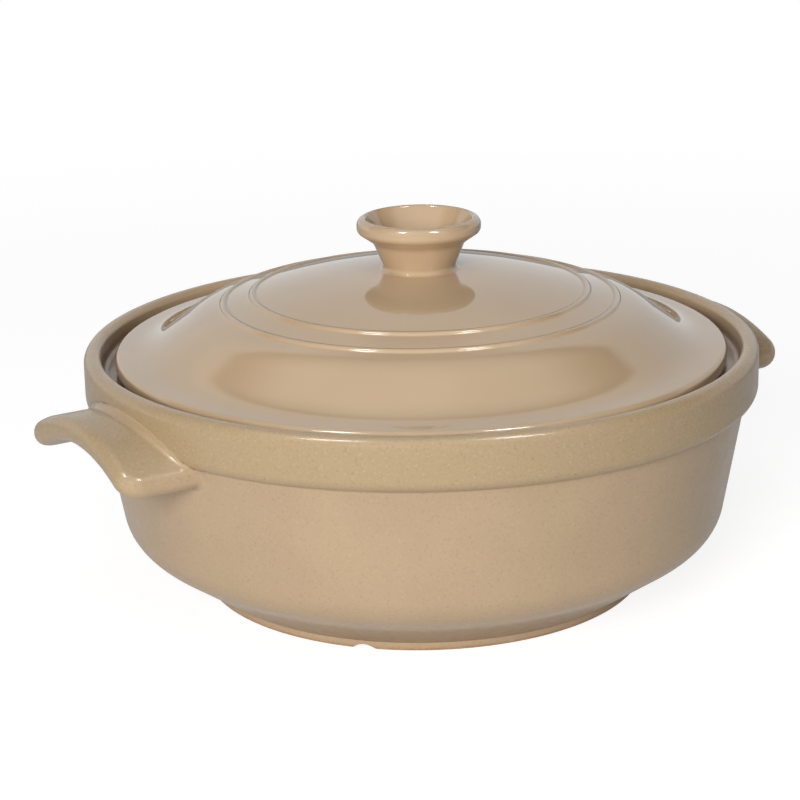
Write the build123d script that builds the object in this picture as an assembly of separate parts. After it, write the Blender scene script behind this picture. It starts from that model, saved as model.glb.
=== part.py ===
"""Lidded clay pot: a low round cooking pot with a collar, two arched lug handles and a loose lid.

Millimetres, +Z up. The origin is the centre of the foot's resting face. The handles lie along X.
"""

import os
from math import cos, radians, sin, sqrt, tan

from build123d import *

# Foot ring
foot_inset = 49.8
foot_height = 4.4
foot_width = 12.0
foot_outer_rounding = 3.2
foot_inner_rounding = 1.5
notch_half_width = 5.5
notch_height = 2.8
notch_bearing = -137.3

# Bowl, outside
rim_height = 110.4
collar_radius = 150.0
collar_height = 23.0
collar_overhang = 5.2
collar_lower_rounding = 4.9
crease_rounding = 1.2
wall_lean = 10.1
underside_slope = 34.9
shoulder_rounding = 20.0
rim_width = 7.7
rim_outer_rounding = 4.4
rim_inner_rounding = 3.0

# Bowl, inside
ledge_depth = 10.1
ledge_width = 13.8
ledge_rounding = 3.0
mouth_rounding = 2.5
inner_wall_lean = 4.6
underside_wall = 8.0
floor_thickness = 8.0
inner_rounding = 20.0

# Lid
lid_edge_gap = 6.1
lid_edge_thickness = 8.3
lid_edge_rounding = 2.4
lid_edge_lower_rounding = 4.5
lid_thickness = 6.5
flange_slope = 4.2
flange_width = 14.8
flank_slope = 34.5
flank_width = 22.7
flare_rounding = 29.0
lid_shoulder_rounding = 36.0
crown_slope = 15.7
crown_top_slope = 5.1
crown_break_share = 0.367
crown_break_curve = 7.56
ring_count = 2
ring_inset = 10.9
ring_spacing = 13.1
ring_rounding = 1.7
ring_height = 0.8
locating_clearance = 2.3
locating_depth = 8.0
locating_width = 5.7
locating_rounding = 2.0
seat_gap = 0.1

# Knob
knob_height = 23.5
knob_stem_radius = 15.2
knob_stem_lean = 22.7
knob_foot_spread = 3.2
knob_foot_land = 0.4
knob_foot_rounding = 2.0
knob_seat_margin = 1.2
knob_lip_radius = 27.5
knob_lip_height = 6.0
knob_lip_slope = 35.0
knob_lip_rounding = 3.4
knob_lip_lower_rounding = 2.6
knob_neck_rounding = 6.0
knob_lip_width = 3.8
knob_mouth_rounding = 1.5
knob_cup_lean = 36.0
knob_floor = 5.5
knob_cup_rounding = 5.0

# Lug handles
lug_half_width = 47.9
lug_projection = 21.0
lug_thickness = 10.8
lug_drop = 9.4
lug_end_slope = 32.16
lug_corner_rounding = 9.5
lug_edge_rounding = 5.0
lug_root_rounding = 4.0
lug_root_depth = 30.0
blend_below = 6.8
blend_above = 9.0
blend_margin = 0.4
blend_skin = 0.2

# Levels and radii that several pieces share
collar_base = rim_height - collar_height
crease_radius = collar_radius - collar_overhang
gallery_radius = collar_radius - rim_width
ledge_height = rim_height - ledge_depth
mouth_radius = gallery_radius - ledge_width
floor_height = foot_height + floor_thickness
seat_height = ledge_height + seat_gap
foot_radius = collar_radius - foot_inset
wall_run = tan(radians(wall_lean))
underside_rise = tan(radians(underside_slope))
knob_foot_radius = knob_stem_radius + knob_foot_spread
knob_seat_radius = knob_foot_radius + knob_seat_margin
lid_edge_radius = gallery_radius - lid_edge_gap
lid_edge_height = seat_height + lid_edge_thickness
flare_radius = lid_edge_radius - flange_width
flare_height = lid_edge_height + flange_width * tan(radians(flange_slope))
flank_rise = tan(radians(flank_slope))
lid_shoulder_radius = flare_radius - flank_width
lid_shoulder_height = flare_height + flank_width * flank_rise
crown_rise = tan(radians(crown_slope))
crown_break_radius = lid_edge_radius * crown_break_share
crown_break_rounding = (crown_break_radius - knob_seat_radius) * crown_break_curve
crown_break_height = lid_shoulder_height + (lid_shoulder_radius - crown_break_radius) * crown_rise
crown_top_rise = tan(radians(crown_top_slope))
knob_seat_height = crown_break_height + (crown_break_radius - knob_seat_radius) * crown_top_rise
lug_arch_radius = lug_half_width / sin(radians(lug_end_slope))


def crossing(first, second):
    """Point where two straight runs meet, each given as radius, height and rise per radius."""
    offset = second[1] - first[1] + first[0] * first[2] - second[0] * second[2]
    radius = offset / (first[2] - second[2])
    return radius, first[1] + (radius - first[0]) * first[2]


def rounded_section(corners):
    """Upright section from the radius, height and rounding of each corner of its outline."""
    points = [(radius, height) for radius, height, rounding in corners]
    roundings = [rounding for radius, height, rounding in corners]
    return make_face(FilletPolyline(*points, radius=roundings, close=True))


def turned(section):
    """Body turned about the upright axis from one section, with its seam away from the +X handle."""
    return Rot(0, 0, 180) * revolve(Plane.XZ * section, Axis.Z)


def shoulder_corner():
    """Sharp corner where the underside would meet the outer wall."""
    underside = (foot_radius, foot_height, underside_rise)
    wall = (crease_radius, collar_base, 1 / wall_run)
    return crossing(underside, wall)


def outside_corners():
    """Outside of the bowl from the axis over the underside, shoulder and collar to the rim."""
    return [
        (0, foot_height, 0),
        (foot_radius, foot_height, 0),
        (*shoulder_corner(), shoulder_rounding),
        (crease_radius, collar_base, crease_rounding),
        (collar_radius, collar_base, collar_lower_rounding),
        (collar_radius, rim_height, rim_outer_rounding),
    ]


def bowl():
    """Turned bowl with its collar, the sunken ledge for the lid and the cooking hollow."""
    wall = (mouth_radius, ledge_height, 1 / tan(radians(inner_wall_lean)))
    cone = (foot_radius, foot_height + underside_wall / cos(radians(underside_slope)), underside_rise)
    floor = (0, floor_height, 0)
    inside = [
        (gallery_radius, rim_height, rim_inner_rounding),
        (gallery_radius, ledge_height, ledge_rounding),
        (mouth_radius, ledge_height, mouth_rounding),
        (*crossing(wall, cone), inner_rounding),
        (*crossing(cone, floor), inner_rounding),
        (0, floor_height, 0),
    ]
    return turned(rounded_section(outside_corners() + inside))


def foot_ring():
    """Low ring under the bowl with one half-moon notch across it."""
    inner_radius = foot_radius - foot_width
    ring = turned(rounded_section([
        (inner_radius, 0, foot_inner_rounding),
        (foot_radius, 0, foot_outer_rounding),
        (foot_radius, foot_height, 0),
        (inner_radius, foot_height, 0),
    ]))
    notch_radius = (notch_half_width**2 + notch_height**2) / (2 * notch_height)
    across = Plane(origin=(0, 0, notch_height - notch_radius), x_dir=(0, 1, 0), z_dir=(1, 0, 0))
    notch = extrude(across * Circle(notch_radius), 2 * foot_radius)
    return ring - Rot(0, 0, notch_bearing) * notch


def lug_bar(margin):
    """Arched bar of the handle's section along X, grown by a margin on every side."""
    half_width = lug_half_width + margin
    crest_radius = lug_arch_radius + margin
    belly_radius = lug_arch_radius - lug_thickness - margin
    crest_side = sqrt(crest_radius**2 - half_width**2)
    belly_side = sqrt(belly_radius**2 - half_width**2)
    crest = ThreePointArc((-half_width, crest_side), (0, crest_radius), (half_width, crest_side))
    belly = ThreePointArc((half_width, belly_side), (0, belly_radius), (-half_width, belly_side))
    ends = [Line(crest @ 1, belly @ 0), Line(belly @ 1, crest @ 0)]
    root = collar_radius - lug_root_depth
    arch_centre = rim_height - lug_drop - lug_arch_radius
    section_plane = Plane(origin=(root, 0, arch_centre), x_dir=(0, 1, 0), z_dir=(1, 0, 0))
    section = make_face([crest, belly] + ends)
    return extrude(section_plane * section, lug_root_depth + lug_projection + margin)


def lug_ledge():
    """Handle ledge with rounded outer corners and soft edges, its root still square."""
    bar = lug_bar(0)
    bar = fillet(bar.edges().filter_by(Axis.Z).group_by(Axis.X)[-1], lug_corner_rounding)
    broad_faces = bar.faces().filter_by(lambda face: abs(face.normal_at().Z) > abs(face.normal_at().X))
    broad_faces = broad_faces.sort_by(SortBy.AREA)[-2:]
    root_plane = collar_radius - lug_root_depth
    edges = [edge for face in broad_faces for edge in face.edges()]
    rims = [edge for edge in edges if (edge @ 0.5).X > root_plane + lug_edge_rounding]
    return fillet(rims, lug_edge_rounding)


def smoothed_outside():
    """Outside of the bowl near the handles, with the crease under the collar smeared smooth."""
    base_radius, base = shoulder_corner()
    low = collar_base - blend_below
    high = collar_base + blend_above
    low_radius = crease_radius - blend_below * wall_run - blend_skin
    high_radius = collar_radius - blend_skin
    smear = Spline((low_radius, low), (high_radius, high), tangents=((wall_run, 1), (0, 1)))
    straight = Polyline((high_radius, high), (high_radius, rim_height), (0, rim_height), (0, base),
                        (base_radius - blend_skin, base), (low_radius, low))
    return turned(make_face([smear, straight]))


def lug():
    """Handle on the +X side, blended all round its root and cut to the bowl's outside."""
    outside = smoothed_outside()
    ledge = lug_ledge()
    joined = outside + ledge
    root_edges = new_edges(outside, ledge, combined=joined)
    blended = fillet(root_edges, lug_root_rounding)
    handle = blended & lug_bar(lug_root_rounding + blend_margin)
    return handle - turned(rounded_section(outside_corners() + [(0, rim_height, 0)]))


def lid():
    """Turned lid: crown with two rings, flank, flange and edge over a locating ring and a hollow."""
    under_break_height = crown_break_height - lid_thickness / cos(radians(crown_slope))
    under_crown = (crown_break_radius, under_break_height, -crown_rise)
    under_shoulder_height = lid_shoulder_height - lid_thickness / cos(radians(flank_slope))
    under_flank = (lid_shoulder_radius, under_shoulder_height, -flank_rise)
    locating_radius = mouth_radius - locating_clearance
    hollow_radius = locating_radius - locating_width
    hollow_wall_top = under_shoulder_height - (hollow_radius - lid_shoulder_radius) * flank_rise
    locating_foot = seat_height - locating_depth
    section = rounded_section([
        (0, knob_seat_height, 0),
        (knob_seat_radius, knob_seat_height, 0),
        (crown_break_radius, crown_break_height, crown_break_rounding),
        (lid_shoulder_radius, lid_shoulder_height, lid_shoulder_rounding),
        (flare_radius, flare_height, flare_rounding),
        (lid_edge_radius, lid_edge_height, lid_edge_rounding),
        (lid_edge_radius, seat_height, lid_edge_lower_rounding),
        (locating_radius, seat_height, 0),
        (locating_radius, locating_foot, locating_rounding),
        (hollow_radius, locating_foot, locating_rounding),
        (hollow_radius, hollow_wall_top, 0),
        (*crossing(under_flank, under_crown), lid_shoulder_rounding - lid_thickness),
        (crown_break_radius, under_break_height, crown_break_rounding),
        (0, knob_seat_height - lid_thickness, 0),
    ])
    for ring in range(ring_count):
        radius = lid_shoulder_radius - ring_inset - ring * ring_spacing
        height = crown_break_height - (radius - crown_break_radius) * crown_rise
        section += Pos(radius, height + ring_height - ring_rounding) * Circle(ring_rounding)
    return turned(section)


def lid_knob():
    """Hollow flared knob with a rounded lip on a short spreading stem."""
    top = knob_seat_height + knob_height
    foot_top = knob_seat_height + knob_foot_land
    floor = knob_seat_height + knob_floor
    lip_base = top - knob_lip_height
    stem = (knob_stem_radius, foot_top, 1 / tan(radians(knob_stem_lean)))
    lip_underside = (knob_lip_radius, lip_base, tan(radians(knob_lip_slope)))
    mouth_radius_here = knob_lip_radius - knob_lip_width
    cup_wall = (mouth_radius_here, top, 1 / tan(radians(knob_cup_lean)))
    cup_floor = (0, floor, 0)
    return turned(rounded_section([
        (0, knob_seat_height, 0),
        (knob_foot_radius, knob_seat_height, 0),
        (knob_foot_radius, foot_top, 0),
        (knob_stem_radius, foot_top, knob_foot_rounding),
        (*crossing(stem, lip_underside), knob_neck_rounding),
        (knob_lip_radius, lip_base, knob_lip_lower_rounding),
        (knob_lip_radius, top, knob_lip_rounding),
        (mouth_radius_here, top, knob_mouth_rounding),
        (*crossing(cup_wall, cup_floor), knob_cup_rounding),
        (0, floor, 0),
    ]))


os.makedirs("parts", exist_ok=True)
export_step(bowl(), "parts/bowl.step")
export_step(foot_ring(), "parts/foot_ring.step")
handle = lug()
export_step(Rot(0, 0, 180) * handle, "parts/left_handle.step")
export_step(handle, "parts/right_handle.step")
export_step(lid(), "parts/lid.step")
export_step(lid_knob(), "parts/lid_knob.step")
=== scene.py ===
"""Looks of a lidded clay pot: turned glazes, arched lugs, bare foot, studio floor, lights and camera.

Metres, +Z up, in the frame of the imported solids. The origin is the centre of the foot's resting face and
the handles lie along X.
"""

import logging
from dataclasses import dataclass
from enum import Enum
from math import atan2, ceil, cos, pi, radians, sin, tan

import bpy
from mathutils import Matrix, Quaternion, Vector


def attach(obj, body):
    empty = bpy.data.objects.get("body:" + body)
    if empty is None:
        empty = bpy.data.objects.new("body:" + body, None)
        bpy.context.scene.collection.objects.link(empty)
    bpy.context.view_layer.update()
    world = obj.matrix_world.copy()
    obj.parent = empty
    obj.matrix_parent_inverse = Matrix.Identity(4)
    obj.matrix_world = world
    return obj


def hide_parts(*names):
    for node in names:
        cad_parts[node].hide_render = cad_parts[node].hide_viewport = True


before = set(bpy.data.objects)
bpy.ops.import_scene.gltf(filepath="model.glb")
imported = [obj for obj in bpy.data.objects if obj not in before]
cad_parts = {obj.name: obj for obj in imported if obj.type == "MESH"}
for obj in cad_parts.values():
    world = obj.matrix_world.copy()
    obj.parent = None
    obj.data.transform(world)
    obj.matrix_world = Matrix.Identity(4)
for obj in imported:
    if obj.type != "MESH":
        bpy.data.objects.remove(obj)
log = logging.getLogger("clay_pot")

Colour = tuple[float, float, float]
Span = tuple[float, float]
WHITE = (1.0, 1.0, 1.0, 1.0)
BLACK = (0.0, 0.0, 0.0, 1.0)
ARC_STEP = radians(3.0)
TURN_STEPS = 288
WELD_DISTANCE = 2e-6
SHARP_ANGLE = radians(40.0)
GLAZE_INDEX = 1.5
SAND_DETAIL = 3.0
SPECK_CORE = 0.4


class Body(Enum):
    """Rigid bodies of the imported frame."""

    POT = "pot"
    LID = "lid"


class Slot(Enum):
    """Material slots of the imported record."""

    BODY_GLAZE = "body_glaze"
    LID_GLAZE = "lid_glaze"
    BARE_CLAY = "bare_clay"


class Shade:
    """A socket of a material's graph whose arithmetic adds Math nodes."""

    def __init__(self, graph: "ShaderGraph", socket: bpy.types.NodeSocket) -> None:
        """Keeps the socket and the graph that it belongs to."""
        self.graph = graph
        self.socket = socket

    def _math(self, operation: str, first: "Value", second: "Value" = 0.0) -> "Shade":
        """One Math node.

        Args:
            operation: the node's operation.
            first: its first value.
            second: its second value.

        Returns:
            The node's result.
        """
        return self.graph.node("ShaderNodeMath", {"operation": operation}, {0: first, 1: second})

    def __add__(self, other: "Value") -> "Shade":
        """Sum of two values."""
        return self._math("ADD", self, other)

    def __radd__(self, other: "Value") -> "Shade":
        """Sum with a plain number on the left."""
        return self._math("ADD", other, self)

    def __sub__(self, other: "Value") -> "Shade":
        """Difference of two values."""
        return self._math("SUBTRACT", self, other)

    def __rsub__(self, other: "Value") -> "Shade":
        """Difference from a plain number on the left."""
        return self._math("SUBTRACT", other, self)

    def __mul__(self, other: "Value") -> "Shade":
        """Product of two values."""
        return self._math("MULTIPLY", self, other)

    def largest(self, other: "Value") -> "Shade":
        """Larger of two values."""
        return self._math("MAXIMUM", self, other)

    def distance(self, other: "Value") -> "Shade":
        """Unsigned difference of two values."""
        return self._math("ABSOLUTE", self - other)

    def ramp(self, low: float, high: float) -> "Shade":
        """Soft step from 0 to 1.

        Args:
            low: value at which the step starts to rise.
            high: value at which it has risen to 1.

        Returns:
            The step's value.
        """
        settings = {"interpolation_type": "SMOOTHSTEP"}
        return self.graph.node("ShaderNodeMapRange", settings, {0: self, 1: low, 2: high})


Value = Shade | float | tuple


class ShaderGraph:
    """The node tree of one new material or of the world."""

    def __init__(self, owner: bpy.types.Material | bpy.types.World) -> None:
        """Empties the owner's node tree.

        Args:
            owner: the material or world that the graph shades.
        """
        owner.use_nodes = True
        self.tree = owner.node_tree
        self.tree.nodes.clear()

    def node(
        self, kind: str, settings: dict[str, object], inputs: dict[int | str, Value], out: int | str = 0
    ) -> Shade:
        """Adds a node.

        Args:
            kind: the node's type.
            settings: its settings, set before its sockets.
            inputs: values or links of its sockets, by place or name.
            out: the output that is handed on, by place or name.

        Returns:
            That output.
        """
        made = self.tree.nodes.new(kind)
        for name, value in settings.items():
            setattr(made, name, value)
        for key, value in inputs.items():
            if isinstance(value, Shade):
                self.tree.links.new(value.socket, made.inputs[key])
            else:
                made.inputs[key].default_value = value
        return Shade(self, made.outputs[out])

    def noise(self, place: Shade, size: float, detail: float = 2.0) -> Shade:
        """Cloudy noise from 0 to 1.

        Args:
            place: the coordinates that it follows.
            size: width of its clouds in metres.
            detail: how many finer layers it has.

        Returns:
            The noise's value.
        """
        return self.node("ShaderNodeTexNoise", {}, {"Vector": place, "Scale": 1.0 / size, "Detail": detail})

    def grains(self, place: Shade, size: float, width: float) -> Shade:
        """Round specks on a jittered grid.

        Args:
            place: the coordinates that they follow.
            size: mean distance between specks in metres.
            width: width of a speck as a share of that distance.

        Returns:
            1 in the middle of a speck and 0 away from it.
        """
        cells = self.node("ShaderNodeTexVoronoi", {}, {"Vector": place, "Scale": 1.0 / size}, "Distance")
        return 1.0 - cells.ramp(width * SPECK_CORE, width)

    def mix(self, share: Value, first: Value, second: Value) -> Shade:
        """Colour between two colours.

        Args:
            share: how much of the second colour there is.
            first: the colour at 0.
            second: the colour at 1.

        Returns:
            The mixed colour.
        """
        return self.node("ShaderNodeMix", {"data_type": "RGBA"}, {0: share, 6: first, 7: second}, 2)

    def bump(self, height: Shade, strength: float, distance: float) -> Shade:
        """Fine relief that only tilts the light.

        Args:
            height: the relief's height from 0 to 1.
            strength: how much of it is shown.
            distance: its full height in metres.

        Returns:
            The tilted normal.
        """
        return self.node("ShaderNodeBump", {}, {"Strength": strength, "Distance": distance, "Height": height})

    def position(self) -> Shade:
        """Object coordinates in metres."""
        return self.node("ShaderNodeTexCoord", {}, {}, "Object")

    def height(self) -> Shade:
        """Height above the foot's resting face."""
        return self.node("ShaderNodeSeparateXYZ", {}, {0: self.position()}, "Z")

    def radius(self) -> Shade:
        """Distance from the upright axis."""
        flat = self.node("ShaderNodeVectorMath", {"operation": "MULTIPLY"},
                         {0: self.position(), 1: (1, 1, 0)})
        return self.node("ShaderNodeVectorMath", {"operation": "LENGTH"}, {0: flat}, "Value")

    def surface(self, shader: Shade) -> None:
        """Ends a material's graph in a shader."""
        self.node_output("ShaderNodeOutputMaterial", shader)

    def node_output(self, kind: str, shader: Shade) -> None:
        """Links a shader to an output node.

        Args:
            kind: the output node's type.
            shader: what it shows.
        """
        end = self.tree.nodes.new(kind)
        self.tree.links.new(shader.socket, end.inputs["Surface"])


def rgba(colour: Colour) -> tuple[float, float, float, float]:
    """Opaque colour for a socket."""
    return (*colour, 1.0)


@dataclass(frozen=True)
class SatinGlaze:
    """Satin glaze of the pot: cloudy beige, sandy grains, a golden tinge on the collar and lugs, and painted
    shade on the gallery inside the rim.
    """

    tone: Colour = (0.466, 0.337, 0.211)
    cloud_tone: Colour = (0.492, 0.355, 0.223)
    collar_tone: Colour = (0.418, 0.304, 0.176)
    # Painted shade tone for the gallery ledge and the lower inner rim wall under the lid's edge.
    gallery_shade_tone: Colour = (0.27, 0.19, 0.125)
    grain_tone: Colour = (0.26, 0.18, 0.105)
    pale_tone: Colour = (0.64, 0.50, 0.34)
    collar: Span = (0.080, 0.092)
    rim: Span = (0.1440, 0.1490)
    ledge: Span = (0.094, 0.099)
    gallery: Span = (0.1015, 0.1075)
    cloud_size: float = 0.045
    cloud_edge: Span = (0.35, 0.65)
    grain_size: float = 0.0011
    dark_grains: Span = (0.54, 0.80)
    dark_share: float = 0.45
    pale_grains: Span = (0.56, 0.82)
    pale_share: float = 0.36
    wall_sand: float = 0.8
    collar_sand: float = 0.4
    speck_size: float = 0.0032
    speck_width: float = 0.16
    speck_share: float = 0.24
    roughness: float = 0.45
    rough_patch: float = 0.012
    patch_share: float = 0.10
    grain_share: float = 0.12
    specular: float = 0.2
    coat: float = 0.5
    coat_patch: float = 0.004
    coat_share: float = 0.5
    coat_roughness: float = 0.17
    coat_index: float = 1.5
    bump_strength: float = 0.35
    bump_height: float = 0.00005

    def colour(self, graph: ShaderGraph) -> Shade:
        """Colour of the glaze.

        Args:
            graph: the graph that it is added to.

        Returns:
            The colour.
        """
        place = graph.position()
        cloud = graph.noise(place, self.cloud_size).ramp(*self.cloud_edge)
        base = graph.mix(cloud, rgba(self.tone), rgba(self.cloud_tone))
        outside = graph.radius().ramp(*self.rim)
        golden = graph.height().ramp(*self.collar) * outside
        base = graph.mix(golden, base, rgba(self.collar_tone))
        # Painted shade: darkens the gallery ledge and the lower inner rim wall, where the rim and the lid's
        # edge shade them.
        gallery = (1.0 - outside) * (1.0 - graph.height().ramp(*self.gallery))
        base = graph.mix(gallery * graph.height().ramp(*self.ledge), base, rgba(self.gallery_shade_tone))
        sand = graph.noise(place, self.grain_size, SAND_DETAIL)
        coarse = self.wall_sand + golden * self.collar_sand
        dark = sand.ramp(*self.dark_grains) * self.dark_share * coarse
        base = graph.mix(dark, base, rgba(self.grain_tone))
        pale = (1.0 - sand).ramp(*self.pale_grains) * self.pale_share * coarse
        base = graph.mix(pale, base, rgba(self.pale_tone))
        specks = graph.grains(place, self.speck_size, self.speck_width) * self.speck_share
        return graph.mix(specks, base, rgba(self.grain_tone))

    def material(self) -> bpy.types.Material:
        """The finished material."""
        made = bpy.data.materials.new("satin_glaze")
        graph = ShaderGraph(made)
        place = graph.position()
        sand = graph.noise(place, self.grain_size, SAND_DETAIL)
        patches = (graph.noise(place, self.rough_patch) - 0.5) * self.patch_share
        rough = self.roughness + patches + (sand - 0.5) * self.grain_share
        coat = self.coat + (graph.noise(place, self.coat_patch) - 0.5) * self.coat_share
        shader = graph.node("ShaderNodeBsdfPrincipled", {}, {
            "Base Color": self.colour(graph), "Roughness": rough, "IOR": GLAZE_INDEX,
            "Normal": graph.bump(sand, self.bump_strength, self.bump_height),
            "Specular IOR Level": self.specular, "Coat Weight": coat,
            "Coat Roughness": self.coat_roughness, "Coat IOR": self.coat_index})
        graph.surface(shader)
        return made


@dataclass(frozen=True)
class GlossGlaze:
    """Clear glossy glaze of the lid and knob over a beige body, with a painted shadow line just inside each
    ring.
    """

    tone: Colour = (0.532, 0.380, 0.235)
    cloud_tone: Colour = (0.558, 0.400, 0.249)
    # Painted shade: this dark tone and the radii, width and share below paint a thin shadow line on the crown
    # just inside each ring.
    ring_shade_tone: Colour = (0.26, 0.17, 0.095)
    grain_tone: Colour = (0.36, 0.26, 0.16)
    cloud_size: float = 0.06
    cloud_edge: Span = (0.35, 0.65)
    grain_size: float = 0.0012
    grains: Span = (0.60, 0.85)
    grain_share: float = 0.10
    # Painted shadow line: radii, width and strength of the dark line inside each ring.
    ring_shade_radii: Span = (0.0731, 0.0862)
    ring_shade_width: float = 0.0009
    ring_shade_share: float = 0.8
    roughness: float = 0.16
    rough_patch: float = 0.02
    patch_share: float = 0.06
    coat_roughness: float = 0.02
    coat_index: float = 1.55
    ripple_size: float = 0.009
    ripple_detail: float = 1.0
    bump_strength: float = 0.15
    bump_height: float = 0.00002

    def colour(self, graph: ShaderGraph) -> Shade:
        """Colour of the glaze.

        Args:
            graph: the graph that it is added to.

        Returns:
            The colour.
        """
        place = graph.position()
        cloud = graph.noise(place, self.cloud_size).ramp(*self.cloud_edge)
        base = graph.mix(cloud, rgba(self.tone), rgba(self.cloud_tone))
        sand = graph.noise(place, self.grain_size, SAND_DETAIL)
        base = graph.mix(sand.ramp(*self.grains) * self.grain_share, base, rgba(self.grain_tone))
        radius = graph.radius()
        # Painted shade: darkens a thin line on the crown just inside each ring, where the ring's shadow
        # falls.
        for ring_shade_radius in self.ring_shade_radii:
            share = 1.0 - radius.distance(ring_shade_radius).ramp(0.0, self.ring_shade_width)
            base = graph.mix(share * self.ring_shade_share, base, rgba(self.ring_shade_tone))
        return base

    def material(self) -> bpy.types.Material:
        """The finished material."""
        made = bpy.data.materials.new("gloss_glaze")
        graph = ShaderGraph(made)
        place = graph.position()
        ripple = graph.noise(place, self.ripple_size, self.ripple_detail)
        rough = self.roughness + (graph.noise(place, self.rough_patch) - 0.5) * self.patch_share
        shader = graph.node("ShaderNodeBsdfPrincipled", {}, {
            "Base Color": self.colour(graph), "Roughness": rough, "IOR": GLAZE_INDEX,
            "Normal": graph.bump(ripple, self.bump_strength, self.bump_height),
            "Specular IOR Level": 0.0, "Coat Weight": 1.0,
            "Coat Roughness": self.coat_roughness, "Coat IOR": self.coat_index})
        graph.surface(shader)
        return made


@dataclass(frozen=True)
class WipedFoot:
    """Foot ring: the pot's satin glaze above, wiped to bare sandy clay along its lower edge."""

    glaze: SatinGlaze
    clay_tone: Colour = (0.50, 0.30, 0.16)
    sand_tone: Colour = (0.62, 0.42, 0.25)
    scorch_tone: Colour = (0.34, 0.19, 0.10)
    wipe: Span = (0.0016, 0.0024)
    wander_size: float = 0.006
    wander: float = 0.0012
    sand_size: float = 0.0009
    sand_edge: Span = (0.40, 0.70)
    scorch_size: float = 0.03
    scorch_edge: Span = (0.45, 0.75)
    scorch_share: float = 0.5
    clay_roughness: float = 0.85
    bump_strength: float = 0.5
    bump_height: float = 0.00012

    def material(self) -> bpy.types.Material:
        """The finished material."""
        made = bpy.data.materials.new("wiped_foot")
        graph = ShaderGraph(made)
        place = graph.position()
        sand = graph.noise(place, self.sand_size, SAND_DETAIL)
        clay = graph.mix(sand.ramp(*self.sand_edge), rgba(self.clay_tone), rgba(self.sand_tone))
        scorch = graph.noise(place, self.scorch_size).ramp(*self.scorch_edge) * self.scorch_share
        clay = graph.mix(scorch, clay, rgba(self.scorch_tone))
        edge = graph.height() + (graph.noise(place, self.wander_size) - 0.5) * self.wander
        glazed = edge.ramp(*self.wipe)
        colour = graph.mix(glazed, clay, self.glaze.colour(graph))
        rough = self.clay_roughness - glazed * (self.clay_roughness - self.glaze.roughness)
        shader = graph.node("ShaderNodeBsdfPrincipled", {}, {
            "Base Color": colour, "Roughness": rough, "IOR": GLAZE_INDEX,
            "Normal": graph.bump(sand, self.bump_strength, self.bump_height)})
        graph.surface(shader)
        return made


@dataclass(frozen=True)
class Corner:
    """Corner of a turned outline and the radius that rounds it."""

    radius: float
    height: float
    rounding: float = 0.0

    @property
    def point(self) -> Vector:
        """The sharp corner in the upright plane."""
        return Vector((self.radius, self.height))


def rounded(corners: list[Corner]) -> list[Vector]:
    """Points along an outline with its corners rounded to arcs.

    Args:
        corners: the outline's corners in order.

    Returns:
        Points in the upright plane, as radius and height.
    """
    points: list[Vector] = []
    for place, corner in enumerate(corners):
        here = corner.point
        if corner.rounding == 0.0:
            points.append(here)
            continue
        back = (corners[place - 1].point - here).normalized()
        ahead = (corners[(place + 1) % len(corners)].point - here).normalized()
        half = back.angle(ahead) / 2
        centre = here + (back + ahead).normalized() * corner.rounding / sin(half)
        start = here + back * corner.rounding / tan(half) - centre
        end = here + ahead * corner.rounding / tan(half) - centre
        turn = atan2(start.x * end.y - start.y * end.x, start.dot(end))
        steps = max(3, ceil(abs(turn) / ARC_STEP))
        for step in range(steps + 1):
            angle = turn * step / steps
            points.append(centre + Vector((start.x * cos(angle) - start.y * sin(angle),
                                           start.x * sin(angle) + start.y * cos(angle))))
    return points


def crossing(first: tuple[Vector, float], second: tuple[Vector, float]) -> tuple[float, float]:
    """Point where two straight runs meet.

    Args:
        first: a point on one run and its rise per radius.
        second: the same for the other run.

    Returns:
        Radius and height of the meeting point.
    """
    (here, rise), (there, other_rise) = first, second
    radius = (there.y - here.y + here.x * rise - there.x * other_rise) / (rise - other_rise)
    return radius, here.y + (radius - here.x) * rise


def select_only(piece: bpy.types.Object | None) -> None:
    """Leaves one object, or none, selected and active."""
    bpy.ops.object.select_all(action="DESELECT")
    bpy.context.view_layer.objects.active = piece
    if piece is not None:
        piece.select_set(True)


def smooth(piece: bpy.types.Object) -> None:
    """Shades a piece smooth but for its sharp edges."""
    select_only(piece)
    bpy.ops.object.shade_smooth_by_angle(angle=SHARP_ANGLE)


@dataclass
class Piece:
    """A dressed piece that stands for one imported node."""

    node: str
    body: Body = Body.POT
    slot: Slot = Slot.BODY_GLAZE

    def settle(self, piece: bpy.types.Object) -> None:
        """Smooths the piece and seats it on its body in place of its node.

        Args:
            piece: the modelled piece.
        """
        smooth(piece)
        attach(piece, self.body.value)
        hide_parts(self.node)

    def dress(self, piece: bpy.types.Object, finish: bpy.types.Material) -> None:
        """Gives the piece its finish.

        Args:
            piece: the modelled piece.
            finish: the material that covers it.
        """
        piece.data.materials.clear()
        piece.data.materials.append(finish)
        log.info("%s: %d faces, %s", piece.name, len(piece.data.polygons), finish.name)


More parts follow.
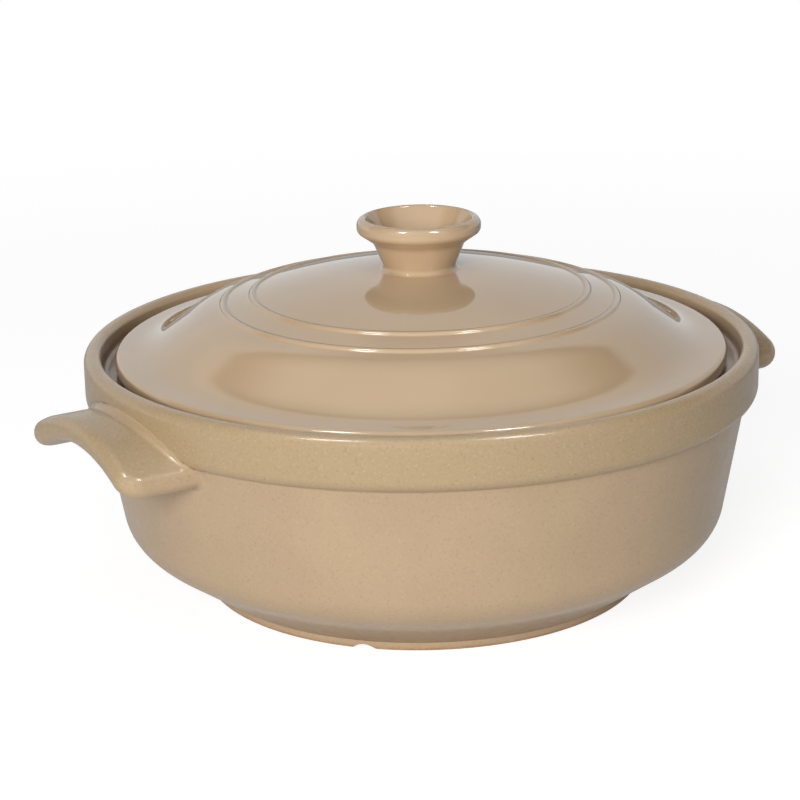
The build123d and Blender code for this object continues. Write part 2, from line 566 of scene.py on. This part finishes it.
@dataclass
class TurnedPiece(Piece):
    """A piece turned about the upright axis."""

    def corners(self) -> list[Corner]:
        """Outline of the piece, in order."""
        raise NotImplementedError

    def build(self) -> bpy.types.Object:
        """Turns the outline into a closed mesh.

        Returns:
            The piece, riding on its body in place of its node.
        """
        outline = rounded(self.corners())
        if outline[0].x > 0.0:
            outline.append(outline[0])
        select_only(None)
        bpy.ops.mesh.primitive_plane_add()
        piece = bpy.context.object
        piece.name = piece.data.name = f"{self.node}_turned"
        bpy.ops.object.mode_set(mode="EDIT")
        bpy.ops.mesh.merge(type="CENTER")
        bpy.ops.transform.translate(value=(outline[0].x, 0.0, outline[0].y))
        for here, there in zip(outline, outline[1:]):
            step = (there.x - here.x, 0.0, there.y - here.y)
            bpy.ops.mesh.extrude_region_move(TRANSFORM_OT_translate={"value": step})
        bpy.ops.mesh.select_all(action="SELECT")
        bpy.ops.mesh.spin(steps=TURN_STEPS, angle=2 * pi, center=(0, 0, 0), axis=(0, 0, 1))
        bpy.ops.mesh.select_all(action="SELECT")
        bpy.ops.mesh.remove_doubles(threshold=WELD_DISTANCE)
        bpy.ops.mesh.normals_make_consistent(inside=False)
        bpy.ops.object.mode_set(mode="OBJECT")
        self.cut(piece)
        self.settle(piece)
        return piece

    def cut(self, piece: bpy.types.Object) -> None:
        """Cuts what isn't turned; most pieces need none."""


@dataclass
class Bowl(TurnedPiece):
    """Bowl with its conical underside, leaning wall, collar, rim, gallery ledge and cooking hollow."""

    foot_radius: float = 0.1002
    foot_height: float = 0.0044
    underside_slope: float = radians(34.9)
    shoulder_rounding: float = 0.020
    wall_lean: float = radians(10.1)
    crease_radius: float = 0.1448
    crease_rounding: float = 0.0012
    collar_radius: float = 0.150
    collar_base: float = 0.0874
    collar_lower_rounding: float = 0.0049
    rim_height: float = 0.1104
    rim_outer_rounding: float = 0.0044
    rim_inner_rounding: float = 0.0030
    gallery_radius: float = 0.1423
    ledge_height: float = 0.1003
    ledge_rounding: float = 0.0030
    mouth_radius: float = 0.1285
    mouth_rounding: float = 0.0025
    inner_wall_lean: float = radians(4.6)
    inner_rounding: float = 0.020
    underside_wall: float = 0.008
    floor_height: float = 0.0124

    def corners(self) -> list[Corner]:
        """Outline of the bowl from the axis under it, up the outside and down the inside."""
        rise = tan(self.underside_slope)
        underside = (Vector((self.foot_radius, self.foot_height)), rise)
        wall = (Vector((self.crease_radius, self.collar_base)), 1 / tan(self.wall_lean))
        inner_wall = (Vector((self.mouth_radius, self.ledge_height)), 1 / tan(self.inner_wall_lean))
        cone_height = self.foot_height + self.underside_wall / cos(self.underside_slope)
        cone = (Vector((self.foot_radius, cone_height)), rise)
        floor = (Vector((0.0, self.floor_height)), 0.0)
        return [
            Corner(0.0, self.foot_height),
            Corner(self.foot_radius, self.foot_height),
            Corner(*crossing(underside, wall), self.shoulder_rounding),
            Corner(self.crease_radius, self.collar_base, self.crease_rounding),
            Corner(self.collar_radius, self.collar_base, self.collar_lower_rounding),
            Corner(self.collar_radius, self.rim_height, self.rim_outer_rounding),
            Corner(self.gallery_radius, self.rim_height, self.rim_inner_rounding),
            Corner(self.gallery_radius, self.ledge_height, self.ledge_rounding),
            Corner(self.mouth_radius, self.ledge_height, self.mouth_rounding),
            Corner(*crossing(inner_wall, cone), self.inner_rounding),
            Corner(*crossing(cone, floor), self.inner_rounding),
            Corner(0.0, self.floor_height),
        ]


@dataclass
class FootRing(TurnedPiece):
    """Low foot ring with one half-moon notch across it."""

    outer_radius: float = 0.1002
    inner_radius: float = 0.0882
    height: float = 0.0044
    outer_rounding: float = 0.0032
    inner_rounding: float = 0.0015
    notch_half_width: float = 0.0055
    notch_height: float = 0.0028
    notch_bearing: float = radians(-137.3)
    notch_sides: int = 96

    def corners(self) -> list[Corner]:
        """Outline of the ring."""
        return [
            Corner(self.inner_radius, self.height),
            Corner(self.inner_radius, 0.0, self.inner_rounding),
            Corner(self.outer_radius, 0.0, self.outer_rounding),
            Corner(self.outer_radius, self.height),
        ]

    def cut(self, piece: bpy.types.Object) -> None:
        """Cuts the notch with a lying cylinder.

        Args:
            piece: the turned ring.
        """
        radius = (self.notch_half_width**2 + self.notch_height**2) / (2 * self.notch_height)
        middle = (self.outer_radius + self.inner_radius) / 2
        length = 2 * (self.outer_radius - self.inner_radius)
        bearing = self.notch_bearing
        place = (middle * cos(bearing), middle * sin(bearing), self.notch_height - radius)
        select_only(None)
        bpy.ops.mesh.primitive_cylinder_add(vertices=self.notch_sides, radius=radius, depth=length,
                                            location=place, rotation=(0.0, pi / 2, bearing))
        cutter = bpy.context.object
        select_only(piece)
        notch = piece.modifiers.new("notch", "BOOLEAN")
        notch.object = cutter
        bpy.ops.object.modifier_apply(modifier=notch.name)
        bpy.data.objects.remove(cutter)


@dataclass
class Lid(TurnedPiece):
    """Loose lid: knob seat, crown with two rings, flank, flange and edge over a locating ring."""

    seat_height: float = 0.1004
    edge_radius: float = 0.1362
    edge_thickness: float = 0.0083
    edge_rounding: float = 0.0024
    edge_lower_rounding: float = 0.0045
    flange_width: float = 0.0148
    flange_slope: float = radians(4.2)
    flare_rounding: float = 0.029
    flank_width: float = 0.0227
    flank_slope: float = radians(34.5)
    shoulder_rounding: float = 0.036
    crown_slope: float = radians(15.7)
    crown_break_radius: float = 0.0500
    crown_break_rounding: float = 0.230
    crown_top_slope: float = radians(5.1)
    knob_seat_radius: float = 0.0196
    knob_seat_rounding: float = 0.060
    wall: float = 0.0065
    ring_radii: Span = (0.0747, 0.0878)
    ring_half_width: float = 0.00144
    ring_flank_slope: float = radians(58.0)
    ring_rounding: float = 0.00155
    ring_crease_rounding: float = 0.0014
    locating_radius: float = 0.1262
    locating_depth: float = 0.008
    locating_width: float = 0.0057
    locating_rounding: float = 0.002

    def crown_height(self, radius: float) -> float:
        """Height of the crown's outer slope at a radius."""
        flare_height = self.seat_height + self.edge_thickness + self.flange_width * tan(self.flange_slope)
        shoulder_radius = self.edge_radius - self.flange_width - self.flank_width
        shoulder_height = flare_height + self.flank_width * tan(self.flank_slope)
        return shoulder_height + (shoulder_radius - radius) * tan(self.crown_slope)

    def ring(self, radius: float) -> list[Corner]:
        """Corners of one raised ring on the crown.

        Args:
            radius: the ring's middle.

        Returns:
            Its inner crease, its crest and its outer crease.
        """
        middle = Vector((radius, self.crown_height(radius)))
        along = Vector((cos(self.crown_slope), -sin(self.crown_slope)))
        across = Vector((sin(self.crown_slope), cos(self.crown_slope)))
        peak = middle + across * self.ring_half_width * tan(self.ring_flank_slope)
        inner = middle - along * self.ring_half_width
        outer = middle + along * self.ring_half_width
        return [Corner(*inner, self.ring_crease_rounding), Corner(*peak, self.ring_rounding),
                Corner(*outer, self.ring_crease_rounding)]

    def corners(self) -> list[Corner]:
        """Outline of the lid from the knob's seat over the outside and back under it."""
        edge_top = self.seat_height + self.edge_thickness
        flare = Corner(self.edge_radius - self.flange_width,
                       edge_top + self.flange_width * tan(self.flange_slope), self.flare_rounding)
        shoulder_radius = flare.radius - self.flank_width
        shoulder = Corner(shoulder_radius, self.crown_height(shoulder_radius), self.shoulder_rounding)
        turn_height = self.crown_height(self.crown_break_radius)
        turn = Corner(self.crown_break_radius, turn_height, self.crown_break_rounding)
        top = turn.height + (turn.radius - self.knob_seat_radius) * tan(self.crown_top_slope)
        under_crown = (Vector((turn.radius, turn.height - self.wall / cos(self.crown_slope))),
                       -tan(self.crown_slope))
        under_flank = (Vector((shoulder.radius, shoulder.height - self.wall / cos(self.flank_slope))),
                       -tan(self.flank_slope))
        hollow = self.locating_radius - self.locating_width
        foot = self.seat_height - self.locating_depth
        rings = [corner for radius in self.ring_radii for corner in self.ring(radius)]
        return [
            Corner(0.0, top),
            Corner(self.knob_seat_radius, top, self.knob_seat_rounding),
            turn,
            *rings,
            shoulder,
            flare,
            Corner(self.edge_radius, edge_top, self.edge_rounding),
            Corner(self.edge_radius, self.seat_height, self.edge_lower_rounding),
            Corner(self.locating_radius, self.seat_height),
            Corner(self.locating_radius, foot, self.locating_rounding),
            Corner(hollow, foot, self.locating_rounding),
            Corner(hollow, under_flank[0].y + (hollow - shoulder.radius) * under_flank[1]),
            Corner(*crossing(under_flank, under_crown), self.shoulder_rounding - self.wall),
            Corner(turn.radius, under_crown[0].y, self.crown_break_rounding),
            Corner(0.0, top - self.wall),
        ]


@dataclass
class LidKnob(TurnedPiece):
    """Hollow flared knob with a rounded lip on a short spreading stem."""

    base: float = 0.14179
    sink: float = 0.00005
    rise: float = 0.0235
    stem_radius: float = 0.0152
    stem_lean: float = radians(22.7)
    foot_radius: float = 0.0183
    foot_land: float = 0.00002
    foot_rounding: float = 0.002
    neck_rounding: float = 0.006
    lip_radius: float = 0.0275
    lip_height: float = 0.006
    lip_slope: float = radians(35.0)
    lip_rounding: float = 0.0034
    lip_lower_rounding: float = 0.0026
    lip_width: float = 0.0038
    mouth_rounding: float = 0.0015
    cup_lean: float = radians(25.0)
    cup_floor: float = 0.0055
    cup_rounding: float = 0.009

    def corners(self) -> list[Corner]:
        """Outline of the knob from its seat over the lip into the cup."""
        top = self.base + self.rise
        land = self.base + self.foot_land
        floor = self.base + self.cup_floor
        stem = (Vector((self.stem_radius, land)), 1 / tan(self.stem_lean))
        lip = (Vector((self.lip_radius, top - self.lip_height)), tan(self.lip_slope))
        mouth = self.lip_radius - self.lip_width
        cup = (Vector((mouth, top)), 1 / tan(self.cup_lean))
        return [
            Corner(0.0, self.base - self.sink),
            Corner(self.foot_radius, self.base - self.sink),
            Corner(self.foot_radius, land),
            Corner(self.stem_radius, land, self.foot_rounding),
            Corner(*crossing(stem, lip), self.neck_rounding),
            Corner(self.lip_radius, top - self.lip_height, self.lip_lower_rounding),
            Corner(self.lip_radius, top, self.lip_rounding),
            Corner(mouth, top, self.mouth_rounding),
            Corner(*crossing(cup, (Vector((0.0, floor)), 0.0)), self.cup_rounding),
            Corner(0.0, floor),
        ]


@dataclass
class LugHandle(Piece):
    """Arched lug on the collar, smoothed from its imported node."""

    def build(self) -> bpy.types.Object:
        """Welds a copy of the node's loose triangles into one smooth skin.

        Returns:
            The piece, riding on its body in place of its node.
        """
        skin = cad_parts[self.node].data.copy()
        skin.name = f"{self.node}_smooth"
        piece = bpy.data.objects.new(skin.name, skin)
        bpy.context.scene.collection.objects.link(piece)
        select_only(piece)
        bpy.ops.object.mode_set(mode="EDIT")
        bpy.ops.mesh.select_all(action="SELECT")
        bpy.ops.mesh.remove_doubles(threshold=WELD_DISTANCE)
        bpy.ops.object.mode_set(mode="OBJECT")
        self.settle(piece)
        return piece


def direction(azimuth: float, elevation: float) -> Vector:
    """Unit vector from the pot towards a lamp or camera.

    Args:
        azimuth: bearing from -Y towards +X.
        elevation: angle above the horizon.

    Returns:
        The vector.
    """
    return Vector((sin(azimuth) * cos(elevation), -cos(azimuth) * cos(elevation), sin(elevation)))


class LampUse(Enum):
    """What a lamp does: it lights the pot, or is only mirrored in its glaze."""

    SHADING = "shading"
    GLINTS = "glints"


@dataclass(frozen=True)
class SoftBox:
    """Studio lamp that faces the pot, turned from the camera's side."""

    name: str
    turn: float
    elevation: float
    distance: float
    width: float
    tall: float
    power: float
    use: LampUse = LampUse.SHADING

    def build(self, front: float, aim: Vector) -> None:
        """Hangs the lamp.

        Args:
            front: azimuth of the camera.
            aim: the point that the lamp faces.
        """
        away = direction(front + self.turn, self.elevation)
        bpy.ops.object.light_add(type="AREA", location=aim + away * self.distance)
        lamp = bpy.context.object
        lamp.name = self.name
        lamp.rotation_mode = "QUATERNION"
        lamp.rotation_quaternion = away.to_track_quat("Z", "Y")
        lamp.data.shape = "RECTANGLE"
        lamp.data.size = self.width
        lamp.data.size_y = self.tall
        lamp.data.energy = self.power
        lamp.visible_diffuse = self.use is LampUse.SHADING
        lamp.visible_glossy = self.use is LampUse.GLINTS


@dataclass
class Studio:
    """White floor, white walls and ceiling, lamps and the camera."""

    camera_azimuth: float = radians(-31.52)
    camera_elevation: float = radians(17.004)
    camera_distance: float = 1.0828
    camera_roll: float = radians(-1.169)
    camera_lens: float = 108.0
    camera_sensor: float = 36.0
    target: tuple[float, float, float] = (-0.00837, 0.00513, 0.0808)
    floor_size: float = 12.0
    floor_white: Colour = (0.80, 0.80, 0.80)
    floor_shaded: Colour = (0.30, 0.30, 0.30)
    floor_glow: float = 0.86
    floor_mirrored: float = 0.3
    floor_near: float = 0.35
    floor_far: float = 1.1
    wall_top: float = radians(47.0)
    wall_edge: float = 0.09
    wall_light: float = 0.175
    horizon: Span = (0.05, 0.20)
    front_spread: Span = (0.2, 0.5)
    front_rise: Span = (0.25, 0.40)
    ceiling_rise: Span = (0.68, 0.92)
    ceiling: float = 0.9
    lamps: tuple[SoftBox, ...] = (
        SoftBox("front_lamp", radians(-14), radians(20), 1.9, 0.7, 0.7, 29.5),
        SoftBox("side_lamp", radians(50), radians(20), 1.9, 1.0, 1.0, 1.0),
        SoftBox("top_lamp", 0.0, radians(62), 1.5, 0.8, 0.8, 4.0),
        SoftBox("left_glint", radians(-44), radians(59), 1.5, 0.24, 0.44, 8.5, LampUse.GLINTS),
        SoftBox("right_glint", radians(44), radians(59), 1.5, 0.24, 0.44, 8.5, LampUse.GLINTS),
    )

    @staticmethod
    def ray(graph: ShaderGraph, *kinds: str) -> Shade:
        """1 for rays of any of some kinds.

        Args:
            graph: the graph that it is added to.
            kinds: the kinds of ray.

        Returns:
            1 for such a ray and 0 for others.
        """
        shares = [graph.node("ShaderNodeLightPath", {}, {}, f"Is {kind} Ray") for kind in kinds]
        found = shares[0]
        for share in shares[1:]:
            found = found.largest(share)
        return found

    def build_floor(self) -> None:
        """Lays a wide white floor that keeps the pot's shadow."""
        select_only(None)
        bpy.ops.mesh.primitive_plane_add(size=self.floor_size)
        floor = bpy.context.object
        floor.name = "studio_floor"
        paint = bpy.data.materials.new("studio_white")
        graph = ShaderGraph(paint)
        plain = graph.node("ShaderNodeBsdfDiffuse", {}, {"Color": rgba(self.floor_white)})
        shaded = graph.node("ShaderNodeBsdfDiffuse", {}, {"Color": rgba(self.floor_shaded)})
        glow = graph.node("ShaderNodeEmission", {}, {"Color": WHITE, "Strength": self.floor_glow})
        near = graph.node("ShaderNodeAddShader", {}, {0: shaded, 1: glow})
        far = graph.node("ShaderNodeEmission", {}, {"Color": WHITE, "Strength": 1.0})
        distance = graph.radius().ramp(self.floor_near, self.floor_far)
        shown = graph.node("ShaderNodeMixShader", {}, {0: distance, 1: near, 2: far})
        mirrored = self.ray(graph, "Glossy") * self.floor_mirrored
        seen = self.ray(graph, "Camera", "Transmission").largest(mirrored)
        graph.surface(graph.node("ShaderNodeMixShader", {}, {0: seen, 1: plain, 2: shown}))
        floor.data.materials.append(paint)

    def build_surround(self) -> None:
        """Sets white walls before and behind the pot and a ceiling, which the glazes mirror."""
        world = bpy.data.worlds.new("studio_surround")
        bpy.context.scene.world = world
        graph = ShaderGraph(world)
        bearing = graph.node("ShaderNodeTexCoord", {}, {}, "Generated")
        height = graph.node("ShaderNodeSeparateXYZ", {}, {0: bearing}, "Z")
        away = graph.node("ShaderNodeVectorMath", {"operation": "DOT_PRODUCT"},
                          {0: bearing, 1: -direction(self.camera_azimuth, 0.0)}, "Value")
        wall = 1.0 - (height - away * tan(self.wall_top)).ramp(-self.wall_edge, self.wall_edge)
        horizon = 1.0 - height.ramp(*self.horizon)
        front = (0.0 - away).ramp(*self.front_spread) * height.ramp(*self.front_rise)
        room = wall.largest(horizon).largest(front) + height.ramp(*self.ceiling_rise) * self.ceiling
        colour = graph.mix(room, BLACK, WHITE)
        dim = graph.node("ShaderNodeBackground", {}, {"Color": colour, "Strength": self.wall_light})
        mirrored = graph.node("ShaderNodeBackground", {}, {"Color": colour, "Strength": 1.0})
        straight = graph.node("ShaderNodeBackground", {}, {"Color": WHITE, "Strength": 1.0})
        shown = graph.node("ShaderNodeMixShader", {}, {0: self.ray(graph, "Glossy"), 1: dim, 2: mirrored})
        seen = self.ray(graph, "Camera", "Transmission")
        graph.node_output("ShaderNodeOutputWorld",
                          graph.node("ShaderNodeMixShader", {}, {0: seen, 1: shown, 2: straight}))

    def build_lamps(self) -> None:
        """Hangs all lamps."""
        for lamp in self.lamps:
            lamp.build(self.camera_azimuth, Vector(self.target))

    def build_camera(self) -> None:
        """Sets the camera at the photograph's angle."""
        away = direction(self.camera_azimuth, self.camera_elevation)
        bpy.ops.object.camera_add(location=Vector(self.target) + away * self.camera_distance)
        camera = bpy.context.object
        camera.name = "photo_camera"
        camera.rotation_mode = "QUATERNION"
        level = (-away).to_track_quat("-Z", "Y")
        camera.rotation_quaternion = level @ Quaternion((0, 0, 1), self.camera_roll)
        camera.data.lens = self.camera_lens
        camera.data.sensor_width = self.camera_sensor
        bpy.context.scene.camera = camera

    def build(self) -> None:
        """Builds the whole studio."""
        self.build_floor()
        self.build_surround()
        self.build_lamps()
        self.build_camera()
        bpy.context.scene.view_settings.view_transform = "Standard"


def main() -> None:
    """Builds the pieces in order, dresses them and sets the studio."""
    logging.basicConfig(level=logging.INFO)
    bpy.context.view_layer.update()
    satin = SatinGlaze()
    satin_material, gloss_material = satin.material(), GlossGlaze().material()
    foot_material = WipedFoot(satin).material()
    for piece, finish in (
        (Bowl("bowl", Body.POT, Slot.BODY_GLAZE), satin_material),
        (FootRing("foot_ring", Body.POT, Slot.BARE_CLAY), foot_material),
        (LugHandle("left_handle"), satin_material),
        (LugHandle("right_handle"), satin_material),
        (Lid("lid", Body.LID, Slot.LID_GLAZE), gloss_material),
        (LidKnob("lid_knob", Body.LID, Slot.LID_GLAZE), gloss_material),
    ):
        piece.dress(piece.build(), finish)
    Studio().build()


if __name__ == "__main__":
    main()
